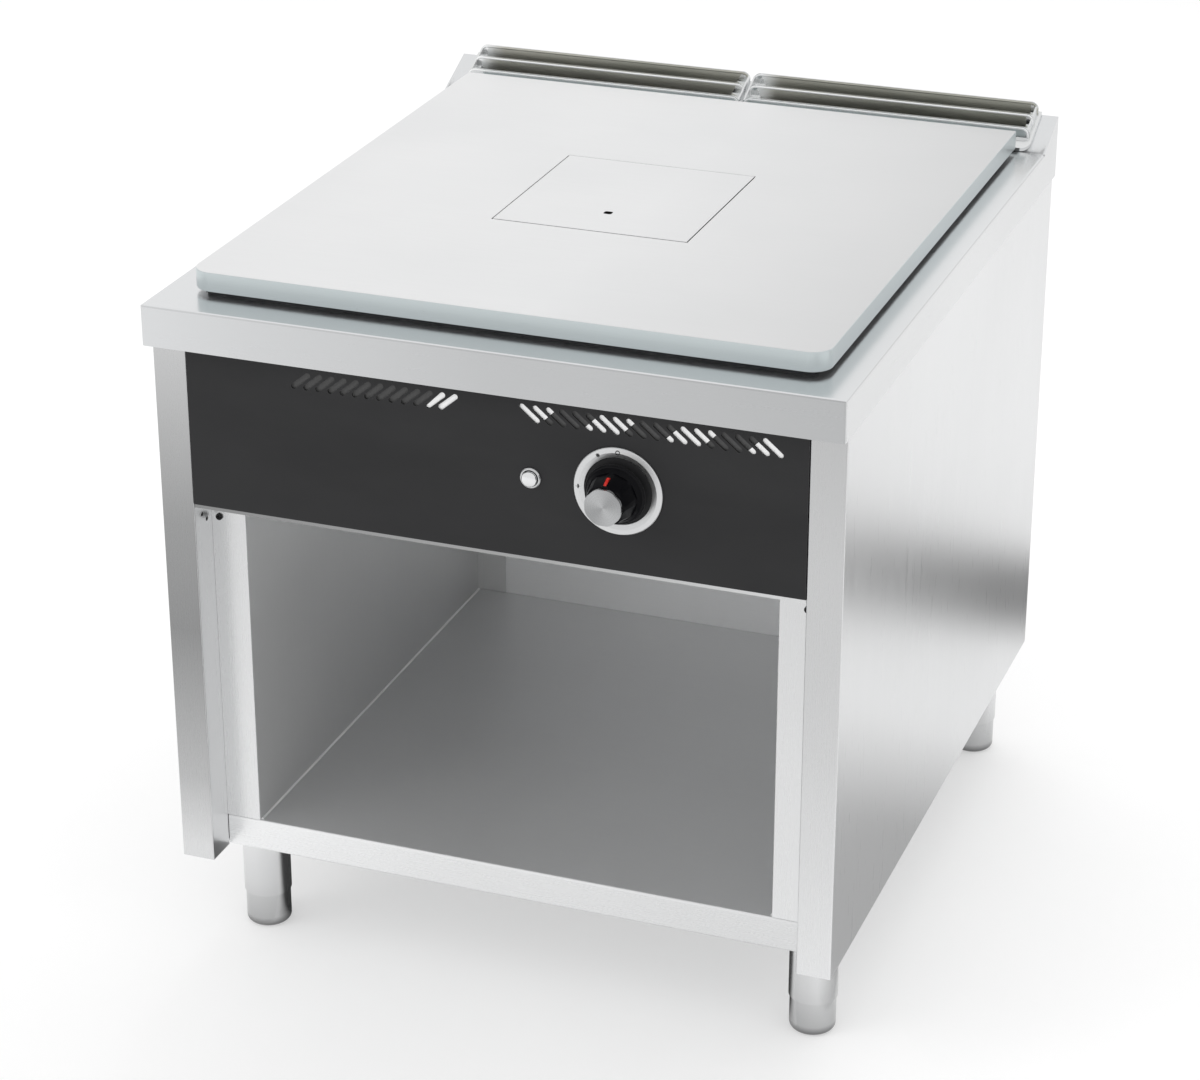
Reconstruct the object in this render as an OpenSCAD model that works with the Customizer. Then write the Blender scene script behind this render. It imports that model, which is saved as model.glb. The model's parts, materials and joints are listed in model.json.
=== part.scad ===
// Gas solid-top range on an open cabinet.
// Frame: X to the right seen from the front, Y from front to back, Z up, in millimetres.
// Origin: on the floor, in the middle of the footprint.

/* [Body] */
// Width over the worktop
body_w = 800; // [780:10:820]
// Depth of the worktop, front to back
body_d = 920; // [915:1:930]
// Height of the worktop above the floor
top_z = 834.5; // [830:0.5:840]
// Height of the aprons folded down from the worktop
apron_h = 47.5; // [40:0.5:50]
// How far the rear ramp of the worktop rises
ramp_rise = 29.5; // [25:0.5:35]
// Depth of the rear ramp
ramp_run = 66; // [62:1:68]

/* [Cabinet] */
// Floor clearance under the cabinet
clear_z = 138; // [130:1:150]
// Width of the folded post at each side of the front
post_w = 40; // [36:1:44]
// Distance from the apron to the face of the posts and the control panel
panel_set = 18.7; // [18:0.1:20]
// Distance from the apron to the face of the jambs and the floor lip
jamb_set = 60; // [58:1:64]
// Width of each jamb
jamb_w = 42; // [40:1:46]
// Height of the front lip of the cabinet floor
lip_h = 40; // [36:1:44]
// Height of the lower edge of the control panel
panel_z = 596; // [594:1:600]

/* [Hot plate] */
// Width of the hot plate
plate_w = 728; // [720:1:732]
// Depth of the hot plate
plate_d = 801; // [798:1:802]
// Thickness of the hot plate
plate_t = 23; // [20:1:25]
// Gap between the worktop and the underside of the hot plate
plate_gap = 5; // [4:0.5:8]
// Width of the centre plate
centre_w = 233.6; // [228:0.2:236]
// Depth of the centre plate
centre_d = 246; // [240:1:250]

/* [Controls] */
// Sideways place of the knob axis
knob_x = 147.8; // [140:0.1:155]
// Height of the knob and the igniter button
knob_z = 689.6; // [685:0.1:695]
// Sideways place of the igniter button
igniter_x = 48.1; // [40:0.1:50]
// Pitch of the slanted vent slots of the right group
slot_pitch = 15; // [14:0.5:16]

/* [Legs] */
// Sideways place of the leg axes
leg_x = 345.6; // [340:0.1:350]
// Radius of the leg tube
leg_r = 28.5; // [28:0.1:30]
// Height where the tube ends and the foot shows
leg_step_z = 44; // [40:1:60]

/* [Hidden] */

$fn = 48;
e = 0.5;                                  // how far a cutting tool runs past a face
steel = "gainsboro";
dark = "dimgray";
iron = "slategray";
brass = "goldenrod";

// Planes of the body
hw = body_w / 2;
front_y = -body_d / 2;
rear_y = body_d / 2;
top_t = 2;                                // worktop sheet
sheet = 1.5;                              // cabinet sheet
bend_r = 3;                               // outside radius of a fold
apron_z = top_z - apron_h;
ramp_y = rear_y - ramp_run;
panel_y = front_y + panel_set;
jamb_y = front_y + jamb_set;
side_x = hw - 2.6;
post_x = side_x - post_w;
jamb_x = post_x - jamb_w;
floor_z = clear_z + lip_h;
ceiling_z = panel_z + 4;
inner_back_y = 277;
liner_h = ceiling_z - floor_z - 0.4;

// Hot plate and what carries it
plate_z = top_z + plate_gap;
plate_top_z = plate_z + plate_t;
plate_front_y = front_y + 48.6;
plate_rear_y = plate_front_y + plate_d;
centre_y = -13.6;
centre_t = 12;
frame_z = top_z - 8.5;
frame_x = 348;
frame_y0 = -398;
frame_y1 = 376;

// Firebox
box_x = 330;
box_y0 = -350;
box_y1 = 342;
box_z = 640;
brick_t = 20;
window_x = 70;
window_w = 48;
flue_w = 278;
flue_z0 = 742;
flue_z1 = 806;

// Burner, tap and igniter
burner_r = 85;
burner_z = 668;
burner_h = 42;
venturi_r = 17;
feed_y = -378;                            // plane of the gas pipes behind the panel
supply_x = 355;
inlet_z = 560;
tap_y0 = -424;
tap_y1 = -360;
tap_push = 7;
knob_tip_y = -490;
spring_end_y = -392;
igniter_push = 5;

// Legs
leg_front_y = -328;
leg_rear_y = 401.4;
foot_r = leg_r - 1.5;
foot_bore_r = leg_r - 1.2;
leg_places = [[-leg_x, leg_front_y], [leg_x, leg_front_y], [-leg_x, leg_rear_y], [leg_x, leg_rear_y]];

// ---------------------------------------------------------------- helpers

module box(a, b) { translate(a) cube(b - a); }

module mirrored(side) { if (side < 0) mirror([1, 0, 0]) children(); else children(); }

// Rectangle with exact round corners
module rounded(a, b, r) {
    translate([a[0] + r, a[1]]) square([b[0] - a[0] - 2 * r, b[1] - a[1]]);
    translate([a[0], a[1] + r]) square([b[0] - a[0], b[1] - a[1] - 2 * r]);
    for (x = [a[0] + r, b[0] - r]) for (y = [a[1] + r, b[1] - r]) translate([x, y]) circle(r);
}

// Cylinder along Y from y0 to y1
module rod_y(x, z, y0, y1, r) { translate([x, y0, z]) rotate([-90, 0, 0]) cylinder(r = r, h = y1 - y0); }

// Cylinder along X from x0 to x1
module rod_x(y, z, x0, x1, r) { translate([x0, y, z]) rotate([0, 90, 0]) cylinder(r = r, h = x1 - x0); }

// Extrudes a shape drawn in X and Z along Y
module along_y(y0, y1) { translate([0, y1, 0]) rotate([90, 0, 0]) linear_extrude(y1 - y0) children(); }

// Extrudes a shape drawn in Y and Z along X
module along_x(x0, x1) {
    translate([x0, 0, 0]) rotate([90, 0, 90]) linear_extrude(x1 - x0) children();
}

// Turns a profile of radius and depth about the Y axis, with depth towards the front
module turned(x, z, y) { translate([x, y, z]) rotate([90, 0, 0]) rotate_extrude($fn = 72) children(); }

// Straight length of pipe between two points
module pipe_run(a, b, r) {
    d = b - a;
    len = norm(d);
    translate(a) rotate([0, acos(d[2] / len), atan2(d[1], d[0])]) cylinder(r = r, h = len, $fn = 24);
}

// Bent rod through a list of points
module bent_rod(points, r) {
    for (i = [0 : len(points) - 2]) pipe_run(points[i], points[i + 1], r);
    if (len(points) > 2) for (i = [1 : len(points) - 2]) translate(points[i]) sphere(r = r, $fn = 24);
}

// Bent pipe with a bore that is open at both ends
function past(a, b) = a + e * (a - b) / norm(a - b);
module pipe(points, r, wall) {
    n = len(points) - 1;
    bore = [for (i = [0 : n]) i == 0 ? past(points[0], points[1]) :
        i == n ? past(points[n], points[n - 1]) : points[i]];
    difference() {
        bent_rod(points, r);
        bent_rod(bore, r - wall);
    }
}

// Compression spring along Y, as a swept wire
function coil_point(t, r, pitch) = [r * cos(360 * t), pitch * t, r * sin(360 * t)];
function wire_ring(t, r, pitch, w, n) =
    [for (k = [0 : n - 1]) let (a = 360 * k / n)
        coil_point(t, r, pitch) + w * (cos(a) * [cos(360 * t), 0, sin(360 * t)] + sin(a) * [0, 1, 0])];
module coil_spring(r, w, length, turns) {
    n = 8;
    steps = 14 * turns;
    pitch = (length - 2 * w) / turns;
    points = [for (s = [0 : steps]) each wire_ring(s / 14, r, pitch, w, n)];
    sides = [for (s = [0 : steps - 1]) for (k = [0 : n - 1])
        [s * n + k, (s + 1) * n + k, (s + 1) * n + (k + 1) % n, s * n + (k + 1) % n]];
    ends = [[for (k = [0 : n - 1]) k], [for (k = [n - 1 : -1 : 0]) steps * n + k]];
    translate([0, w, 0]) polyhedron(points, concat(sides, ends));
}

// Height of the worktop surface over the rear ramp
function ramp_height(y) = top_z + max(0, y - ramp_y) * ramp_rise / ramp_run;

// ---------------------------------------------------------------- worktop

cut_x = frame_x + 2;
cut_y0 = frame_y0 - 2;
cut_y1 = frame_y1 + 2;
flue_cut_x0 = 24;
flue_cut_x1 = 366;

// The flat part, rounded on the front and side folds
module worktop_flat() {
    intersection() {
        along_x(-hw, hw) rounded([front_y, apron_z - bend_r], [ramp_y + 2 * bend_r, top_z], bend_r);
        along_y(front_y, ramp_y) rounded([-hw, apron_z - bend_r], [hw, top_z], bend_r);
        box([-hw, front_y, apron_z], [hw, ramp_y, top_z]);
        linear_extrude(top_z + 1) rounded([-hw, front_y], [hw, ramp_y + 2 * bend_r], bend_r);
    }
}

// The part behind the fold, which climbs to the rear edge
module worktop_ramp() {
    along_x(-hw, hw) polygon([[ramp_y, apron_z], [ramp_y, top_z], [rear_y, top_z + ramp_rise],
        [rear_y, apron_z]]);
}

module worktop_inside() {
    y0 = front_y + top_t;
    y1 = rear_y - top_t;
    along_x(-hw + top_t, hw - top_t) polygon([[y0, apron_z - e], [y0, top_z - top_t], [ramp_y, top_z - top_t],
        [y1, top_z + ramp_rise - top_t - 1], [y1, apron_z - e]]);
}

module worktop() {
    color(steel) {
        difference() {
            union() {
                worktop_flat();
                worktop_ramp();
            }
            worktop_inside();
            box([-cut_x, cut_y0, top_z - 10], [cut_x, cut_y1, top_z + 10]);
            for (s = [-1, 1]) mirrored(s)
                box([flue_cut_x0, 408, top_z - 10], [flue_cut_x1, 451, top_z + 60]);
        }
        // Return lips under the front apron and the rear apron
        box([-hw + top_t, front_y + top_t, apron_z], [hw - top_t, panel_y - 0.4, apron_z + sheet]);
    }
}

// ---------------------------------------------------------------- cabinet shell

// Side panel in plan: outer wall, front post, return to the jamb, rear flange
module side_plan() {
    back = rear_y - 2.5;
    difference() {
        rounded([post_x, panel_y], [side_x, back], 2);
        translate([post_x + sheet, panel_y + sheet]) square([post_w - 2 * sheet, back - panel_y - 2 * sheet]);
        translate([post_x - e, jamb_y - 0.2]) square([sheet + 2 * e, back - jamb_y + 2 * e]);
        translate([post_x - e, back - 3]) square([18, 3 + e]);
    }
}

module side_panel(side) {
    mirrored(side) difference() {
        translate([0, 0, clear_z]) linear_extrude(top_z - 4.5 - clear_z) side_plan();
        back_screw_places() rod_y(0, 0, rear_y - 6, rear_y, 2);
        // Holes for the hinge of an optional door
        for (p = [[-423, panel_z - 20], [-412, panel_z - 30]])
            rod_x(p[0], p[1], post_x - e, post_x + sheet + e, 2.6);
    }
}

module left_side_panel() { color(steel) side_panel(-1); }
module right_side_panel() { color(steel) side_panel(1); }

// Liner in plan: jamb, inner wall, rear return
module liner(side) {
    mirrored(side) difference() {
        translate([0, 0, floor_z + 0.2]) linear_extrude(liner_h) difference() {
            union() {
                rounded([jamb_x, jamb_y], [jamb_x + 12, jamb_y + 8], sheet);
                translate([jamb_x + 6, jamb_y]) square([post_x - jamb_x, sheet]);
                rounded([jamb_x, jamb_y], [jamb_x + 8, inner_back_y], sheet);
                rounded([jamb_x - 40, inner_back_y - 8], [jamb_x + 6, inner_back_y], sheet);
            }
            translate([jamb_x + sheet, jamb_y + sheet]) square([60, inner_back_y - jamb_y + 2]);
            translate([jamb_x - 45, inner_back_y - 10]) square([45, 10 - sheet]);
        }
        rod_y(post_x - 9.7, panel_z - 31, jamb_y - e, jamb_y + sheet + e, 2.2);
    }
}

module left_liner() { color(steel) liner(-1); }
module right_liner() { color(steel) liner(1); }

module inner_back_panel() {
    z0 = floor_z + 0.2;
    color(steel) box([-312, inner_back_y + 0.1, z0], [312, inner_back_y + 1.3, z0 + liner_h]);
}

module cabinet_floor() {
    color(steel) difference() {
        along_x(-post_x + 0.4, post_x - 0.4) union() {
            difference() {
                rounded([jamb_y, clear_z], [jamb_y + 20, floor_z], bend_r);
                translate([jamb_y + sheet, clear_z + sheet]) square([30, lip_h - 2 * sheet]);
            }
            translate([jamb_y + 10, floor_z - sheet]) square([290 - jamb_y - 10, sheet]);
        }
        // Room for the base frame behind the lip
        box([-post_x, jamb_y + 4, clear_z - e], [post_x, jamb_y + 30, floor_z - sheet - 0.01]);
    }
}

// Box tube with open ends along Y
module frame_tube_y(x0, x1, y0, y1, z0, z1) {
    difference() {
        box([x0, y0, z0], [x1, y1, z1]);
        box([x0 + 2, y0 - e, z0 + 2], [x1 - 2, y1 + e, z1 - 2]);
    }
}

module base_frame() {
    color(dark) {
        difference() {
            for (s = [-1, 1]) mirrored(s)
                frame_tube_y(300, 392, -395, 440, clear_z + 2, floor_z - 1.6);
            for (p = leg_places) bolt_places() translate([p[0], p[1], clear_z + 1]) cylinder(r = 4.2, h = 4);
        }
        for (y = [-390, 380]) difference() {
            box([-299.8, y, clear_z + 4], [299.8, y + 40, floor_z - 6]);
            box([-301, y + 2, clear_z + 6], [301, y + 38, floor_z - 8]);
        }
    }
}

module front_crossbar() {
    color(steel) difference() {
        box([-post_x + 0.4, panel_y + 1.7, panel_z - 4.7], [post_x - 0.4, jamb_y - 0.2, panel_z + 25]);
        box([-post_x, panel_y + 1.7 + sheet, panel_z - 4.7 + sheet], [post_x, jamb_y + 1, panel_z + 26]);
    }
}

module compartment_ceiling() {
    color(steel) box([-340, jamb_y, ceiling_z], [340, 290, ceiling_z + sheet]);
}

module back_panel() {
    color(steel) difference() {
        box([-hw + 4, rear_y - 2.4, clear_z], [hw - 4, rear_y - 0.9, apron_z - 1]);
        rod_y(supply_x, inlet_z, rear_y - 5, rear_y + 1, 15);
        back_screw_places() rod_y(0, 0, rear_y - 5, rear_y + 1, 2);
        for (row = [690, 712, 734]) for (i = [-4 : 4]) along_y(rear_y - 5, rear_y + 1)
            rounded([i * 72 - 28, row - 4], [i * 72 + 28, row + 4], 3.9);
    }
}

// ---------------------------------------------------------------- control panel

slot_len = 21.8;
slot_w = 6.4;
slot_tilt = 40;
slot_z = 763.2;
left_slot_x = -46.2;
left_slot_pitch = 14.4;
right_slot_x = 47.4;

// One slanted slot with round ends; lean is 1 for "/" and -1 for "\"
module slanted_slot(x, lean) {
    translate([x, 0, slot_z]) rotate([0, -lean * slot_tilt, 0]) {
        box([-slot_len / 2, panel_y - 1, -slot_w / 2], [slot_len / 2, panel_y + 3, slot_w / 2]);
        for (s = [-1, 1]) rod_y(s * slot_len / 2, 0, panel_y - 1, panel_y + 3, slot_w / 2);
    }
}

module control_panel() {
    color("black") difference() {
        union() {
            box([-post_x + 0.4, panel_y, panel_z], [post_x - 0.4, panel_y + sheet, apron_z + 13]);
            box([-post_x + 0.4, panel_y, apron_z + 11.5], [post_x - 0.4, panel_y + 16, apron_z + 13]);
        }
        rod_y(knob_x, knob_z, panel_y - 1, panel_y + 3, 6);
        rod_y(igniter_x, knob_z, panel_y - 1, panel_y + 3, 9.5);
        for (x = screw_x) rod_y(x, screw_z, panel_y - 1, panel_y + 3, 2);
        for (i = [0 : 12]) slanted_slot(left_slot_x - i * left_slot_pitch, 1);
        for (i = [0 : 18]) slanted_slot(right_slot_x + i * slot_pitch, -1);
    }
}

baffle_pitch = 90.3;
baffle_strip = 43;
baffle_x = 3.2;                           // foot of the first strip of the right group
baffle_y = panel_y + sheet + 0.2;

// Window between two leaning strips of the baffle
module baffle_window(x0, x1) {
    along_y(baffle_y - 1, baffle_y + 2) polygon([[x0, 740], [x1, 740], [x1 + 46, 786], [x0 + 46, 786]]);
}

module vent_baffle() {
    color("silver") difference() {
        box([-356, baffle_y, 728], [356, baffle_y + 1, apron_z + 9]);
        for (x = screw_x) rod_y(x, screw_z, baffle_y - 1, baffle_y + 2, 2);
        for (i = [-1 : 2]) translate([i * baffle_pitch, 0, 0])
            baffle_window(baffle_x + baffle_strip, baffle_x + baffle_pitch);
        baffle_window(-275, baffle_x - baffle_pitch);
    }
}

// Dull sheet that closes the windows of the baffle from behind
module vent_screen() {
    color(dark) difference() {
        box([-356, baffle_y + 1.1, 728], [356, baffle_y + 1.9, apron_z + 9]);
        for (x = screw_x) rod_y(x, screw_z, baffle_y, baffle_y + 3, 2);
    }
}

screw_x = [-330, -110, 110, 330];
screw_z = apron_z + 6;

module panel_screws() {
    color("silver") for (x = screw_x) {
        rod_y(x, screw_z, panel_y - 2.4, panel_y, 3.5);
        rod_y(x, screw_z, panel_y, panel_y + 8, 1.9);
    }
}

module hinge_screws() {
    color("silver") for (s = [-1, 1]) mirrored(s) difference() {
        union() {
            rod_y(post_x - 9.7, panel_z - 31, jamb_y - 1.8, jamb_y, 4);
            rod_y(post_x - 9.7, panel_z - 31, jamb_y, jamb_y + 5, 2.1);
        }
        for (bar = [[1.2, 5], [5, 1.2]]) along_y(jamb_y - 2.5, jamb_y - 0.8)
            translate([post_x - 9.7, panel_z - 31]) square(bar, center = true);
    }
}

// Two rows of screws that hold the back panel
module back_screw_places() {
    for (x = [-386, 386]) for (z = [160, 360, 560, 770]) translate([x, 0, z]) children();
}

module back_screws() {
    color("silver") back_screw_places() {
        rod_y(0, 0, rear_y - 0.9, rear_y + 1, 4);
        rod_y(0, 0, rear_y - 6, rear_y - 0.9, 1.9);
    }
}

// ---------------------------------------------------------------- knob

grip_taper = 12.4;                        // slope of the grip
knob_reach = panel_y - 44 - knob_tip_y;   // thickness of the cap

// Profile points are radius and distance in front of the panel
module knob_shape() {
    turned(knob_x, knob_z, panel_y) polygon([[4.02, 10], [8, 10], [8, 38], [18, 38], [28, 12.5],
        [31, 9.5], [34, 9.5], [34, 12], [33.2, 13.2], [31.6, 13.8], [27, 22], [22.6, 42], [21.6, 44],
        [4.02, 44]]);
}

module knob() {
    color("black") difference() {
        knob_shape();
        // Flats that give the grip its facets
        for (a = [0 : 45 : 315]) translate([knob_x, panel_y - 20, knob_z]) rotate([0, a + 22.5, 0])
            translate([0, 0, 26.5]) rotate([grip_taper, 0, 0]) box([-20, -40, 0], [20, 0, 10]);
    }
}

module knob_cap() {
    color("silver") translate([knob_x, panel_y - 44, knob_z]) rotate([90, 0, 0]) intersection() {
        cylinder(r = 20.8, h = knob_reach, $fn = 96);
        rotate([0, 0, 22.5]) cylinder(r = 22, h = knob_reach, $fn = 8);
    }
}

module knob_pointer() {
    y = panel_y;
    z = knob_z;
    color("red") along_x(knob_x - 1.5, knob_x + 1.5)
        polygon([[y - 42, z + 22.68], [y - 42, z + 23.3], [y - 31, z + 27.6], [y - 28.5, z + 25.68]]);
}

module knob_bezel() {
    color("silver") difference() {
        turned(knob_x, knob_z, panel_y)
            polygon([[38.5, 0], [50, 0], [50, 2.2], [49.2, 3], [44, 3], [38.5, 1.6]]);
        // Dial marks: flame-on bar, ignition star, off ring
        for (m = [[90, 1.6, 5], [30, 2.4, 2.4]]) translate([knob_x, 0, knob_z]) rotate([0, -m[0], 0])
            box([-m[1] / 2, panel_y - 4, 44.6 - m[2] / 2], [m[1] / 2, panel_y - 2.2, 44.6 + m[2] / 2]);
        difference() {
            rod_y(knob_x, knob_z + 44.8, panel_y - 4, panel_y - 2.2, 2.6);
            rod_y(knob_x, knob_z + 44.8, panel_y - 5, panel_y - 2, 1.7);
        }
    }
}

// ---------------------------------------------------------------- gas tap

stem_r = 4;
plug_r = 9;
stem_tip_y = panel_y - 43.5;
stem_end_y = -404;

module stem_section(r) {
    difference() {
        circle(r);
        translate([-r, 2.6 + r - stem_r]) square([2 * r, r]);
    }
}

module stem_shaft(y0, y1, r) {
    translate([knob_x, 0, knob_z]) along_y(y0, y1) stem_section(r);
}

module tap_body() {
    color(brass) difference() {
        union() {
            box([knob_x - 20, tap_y0, knob_z - 20], [knob_x + 20, tap_y1, knob_z + 20]);
            rod_y(knob_x, knob_z, -437, tap_y0, 8);
            rod_x(feed_y, knob_z, knob_x - 28, knob_x + 28, 9);
            translate([knob_x + 8, -402, knob_z - 24]) cylinder(r = 5, h = 8);
            translate([knob_x - 8, -388, knob_z - 24]) cylinder(r = 5, h = 8);
        }
        rod_y(knob_x, knob_z, -438, -419, stem_r + 0.06);
        rod_y(knob_x, knob_z, -420, -364, plug_r + 0.05);
        rod_x(feed_y, knob_z, knob_x - 29, knob_x + 29, 3.5);
    }
}

module tap_bracket() {
    color("silver") difference() {
        union() {
            box([knob_x - 34, panel_y + 4.3, knob_z - 26], [knob_x + 34, panel_y + 6.3, knob_z + 26]);
            for (s = [-1, 1]) for (q = [-1, 1])
                rod_y(knob_x + s * 28, knob_z + q * 20, panel_y + sheet, panel_y + 4.3, 4);
            box([knob_x - 20, panel_y + 6.3, knob_z + 20], [knob_x + 20, -390, knob_z + 22]);
        }
        rod_y(knob_x, knob_z, panel_y, panel_y + 10, 8.2);
    }
}

module tap_plug() {
    color(brass) difference() {
        rod_y(knob_x, knob_z, -419.8, -364.2, plug_r);
        stem_shaft(-421, spring_end_y, stem_r + 0.05);
        translate([knob_x, feed_y, knob_z - 10]) cylinder(r = 3, h = 20);
    }
}

module tap_stem() { color("silver") stem_shaft(stem_tip_y, stem_end_y, stem_r); }

module tap_spring() {
    color("silver") translate([knob_x, stem_end_y + 0.1, knob_z])
        coil_spring(2.1, 0.4, spring_end_y - stem_end_y - 0.2, 5);
}

// ---------------------------------------------------------------- igniter

igniter_spring_y = -424;
igniter_end_y = -410;

module igniter_button() {
    color("silver") turned(igniter_x, knob_z, panel_y) polygon(concat([[0, igniter_spring_y * -1 + panel_y],
        [6.5, igniter_spring_y * -1 + panel_y], [6.5, 1.2], [8.8, 1.2], [8.8, 5.4]],
        [for (a = [0 : 10 : 80]) [8.8 * cos(a), 5.4 + 3.4 * sin(a)]], [[0, 8.8]]));
}

module igniter_ring() {
    color("silver") turned(igniter_x, knob_z, panel_y)
        polygon([[9.3, 0], [11.8, 0], [11.8, 1.8], [10.8, 3], [9.8, 3], [9.3, 2.4]]);
}

module igniter_body() {
    color(dark) difference() {
        union() {
            rod_y(igniter_x, knob_z, panel_y + sheet, panel_y + 9, 14);
            rod_y(igniter_x, knob_z, panel_y + 9, -406, 11.5);
            rod_y(igniter_x, knob_z, -406, -400, 3);
        }
        rod_y(igniter_x, knob_z, panel_y, -431, 9.3);
        rod_y(igniter_x, knob_z, -432, igniter_end_y, 6.56);
    }
}

module igniter_spring() {
    color("silver") translate([igniter_x, igniter_spring_y + 0.1, knob_z])
        coil_spring(4.6, 0.6, igniter_end_y - igniter_spring_y - 0.2, 5);
}

// ---------------------------------------------------------------- hot plate

module plate_frame() {
    color(iron) difference() {
        box([-frame_x, frame_y0, frame_z], [frame_x, frame_y1, plate_z]);
        box([-312, -330, frame_z - 1], [312, 322, plate_z + 1]);
    }
}

centre_x0 = -centre_w / 2 - 0.8;
centre_y0 = centre_y - centre_d / 2 - 0.8;
centre_y1 = centre_y + centre_d / 2 + 0.8;
ledge = 15;

module plate_outline() {
    r = 24;
    translate([-plate_w / 2, plate_front_y + r]) square([plate_w, plate_d - r]);
    translate([-plate_w / 2 + r, plate_front_y]) square([plate_w - 2 * r, plate_d]);
    for (s = [-1, 1]) translate([s * (plate_w / 2 - r), plate_front_y + r]) circle(r);
}

module hot_plate() {
    color("lightgray") difference() {
        union() {
            translate([0, 0, plate_z]) linear_extrude(plate_t) plate_outline();
            for (x = [-226, 214]) box([x, -320, plate_z - 10], [x + 12, 312, plate_z + 1]);
        }
        box([centre_x0, centre_y0, plate_top_z - centre_t], [-centre_x0, centre_y1, plate_top_z + 1]);
        box([centre_x0 + ledge, centre_y0 + ledge, plate_z - 1],
            [-centre_x0 - ledge, centre_y1 - ledge, plate_top_z]);
    }
}

module centre_plate() {
    color("lightgray") difference() {
        box([-centre_w / 2, centre_y - centre_d / 2, plate_top_z - centre_t],
            [centre_w / 2, centre_y + centre_d / 2, plate_top_z]);
        translate([0, 0, plate_top_z - centre_t - 1]) linear_extrude(centre_t + 2)
            rounded([-4.8, -77.5], [4.8, -68.5], 2.4);
    }
}

// ---------------------------------------------------------------- flue covers

cover_x0 = 1.2;
cover_x1 = 379;
fin_y = [413, 436, 456.8];
fin_t = 3;
fin_h = 16.8;
end_h = 13;                               // height of the plates that close the ends

// One upright fin with round ends
module fin(y) {
    low = ramp_height(y + fin_t) + 0.6;
    high = ramp_height(y + fin_t / 2) + fin_h;
    along_y(y, y + fin_t) difference() {
        rounded([cover_x0 + 1, low - 12], [cover_x1 - 4, high], 10);
        translate([cover_x0, low - 14]) square([cover_x1, 14]);
    }
}

// Base that lies on the ramp, with a long opening on both sides of the middle fin
module cover_base() {
    y0 = ramp_y + 1;
    y1 = rear_y - 0.2;
    difference() {
        intersection() {
            along_x(cover_x0, cover_x1) polygon([[y0, ramp_height(y0) + 0.2], [y1, ramp_height(y1) + 0.2],
                [y1, ramp_height(y1) + 4.2], [y0, ramp_height(y0) + 4.2]]);
            linear_extrude(1000) {
                rounded([cover_x0, y0], [cover_x1, y1 + 20], 12);
                rounded([cover_x0, y0], [cover_x0 + 40, y1 + 20], 3);
            }
        }
        for (i = [0, 1])
            box([cover_x0 + 18, fin_y[i] + fin_t, top_z], [cover_x1 - 14, fin_y[i + 1], top_z + 60]);
    }
}

module end_plate(x) {
    y0 = fin_y[0] + 1;
    y1 = fin_y[2] + 1;
    along_x(x, x + 2) polygon([[y0, ramp_height(y0) + 1], [y1, ramp_height(y1) + 1],
        [y1, ramp_height(y1) + end_h], [y0, ramp_height(y0) + end_h]]);
}

module flue_cover(side) {
    mirrored(side) {
        cover_base();
        for (y = fin_y) fin(y);
        end_plate(cover_x0 + 1.5);
        end_plate(cover_x1 - 8);
    }
}

module left_flue_cover() { color(steel) flue_cover(-1); }
module right_flue_cover() { color(steel) flue_cover(1); }

module flue_duct() {
    color(dark) difference() {
        union() {
            box([-372, box_y1, 730], [372, 452, 822]);
            box([-372, ramp_y, 730], [372, 452, 830]);
        }
        box([-370.5, box_y1 + sheet, 731.5], [370.5, 450.5, 820.5]);
        box([-370.5, ramp_y + sheet, 731.5], [370.5, 450.5, 831]);
        box([-flue_w, box_y1 - 1, flue_z0], [flue_w, box_y1 + 4, flue_z1]);
    }
}

// ---------------------------------------------------------------- firebox and burner

module service_window(y0, y1) {
    box([window_x - window_w / 2, y0, 666], [window_x + window_w / 2, y1, 706]);
}

module firebox() {
    color(dark) difference() {
        box([-box_x, box_y0, box_z], [box_x, box_y1, frame_z]);
        box([-box_x + 3, box_y0 + 3, box_z + 3], [box_x - 3, box_y1 - 3, frame_z + 1]);
        rod_y(0, knob_z, box_y0 - 1, box_y0 + 5, venturi_r + 1);
        service_window(box_y0 - 1, box_y0 + 5);
        box([-flue_w, box_y1 - 5, flue_z0], [flue_w, box_y1 + 1, flue_z1]);
        translate([0, centre_y, box_z - 1]) cylinder(r = 70, h = 5);
    }
}

brick_z = box_z + 3;
joint = 0.5;                              // mortar joint between bricks
wall_z = brick_z + brick_t + joint;
wall_top = 820;

module firebricks() {
    x = box_x - 4;
    y0 = box_y0 + 4;
    y1 = box_y1 - 4;
    color("tan") {
        box([-x, y0, brick_z], [x, -134, brick_z + brick_t]);
        box([-x, 106, brick_z], [x, y1, brick_z + brick_t]);
        for (s = [-1, 1]) mirrored(s) {
            box([122, -133, brick_z], [x, 105, brick_z + brick_t]);
            box([x - brick_t, y0 + brick_t + 1, wall_z], [x, y1 - brick_t - 1, wall_top]);
        }
        difference() {
            box([-x, y0, wall_z], [x, y0 + brick_t, wall_top]);
            rod_y(0, knob_z, y0 - 1, y0 + brick_t + 1, venturi_r + 2);
            service_window(y0 - 1, y0 + brick_t + 1);
        }
        // Rear wall: two piers, a sill and a lintel round the flue window
        for (s = [-1, 1]) mirrored(s) box([flue_w, y1 - brick_t, wall_z], [x, y1, wall_top]);
        box([-flue_w + joint, y1 - brick_t, wall_z], [flue_w - joint, y1, flue_z0]);
        box([-flue_w + joint, y1 - brick_t, flue_z1], [flue_w - joint, y1, wall_top]);
    }
}

module insulation() {
    color("white") box([-300, -330, ceiling_z + sheet], [300, 270, ceiling_z + 26]);
}

module firebox_rails() {
    color(steel) for (s = [-1, 1]) mirrored(s) {
        box([320, -345, box_z - 3], [side_x - sheet - 0.1, 440, box_z]);
        box([side_x - sheet - 3.1, -345, box_z - 30], [side_x - sheet - 0.1, 440, box_z - 2]);
    }
}

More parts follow.
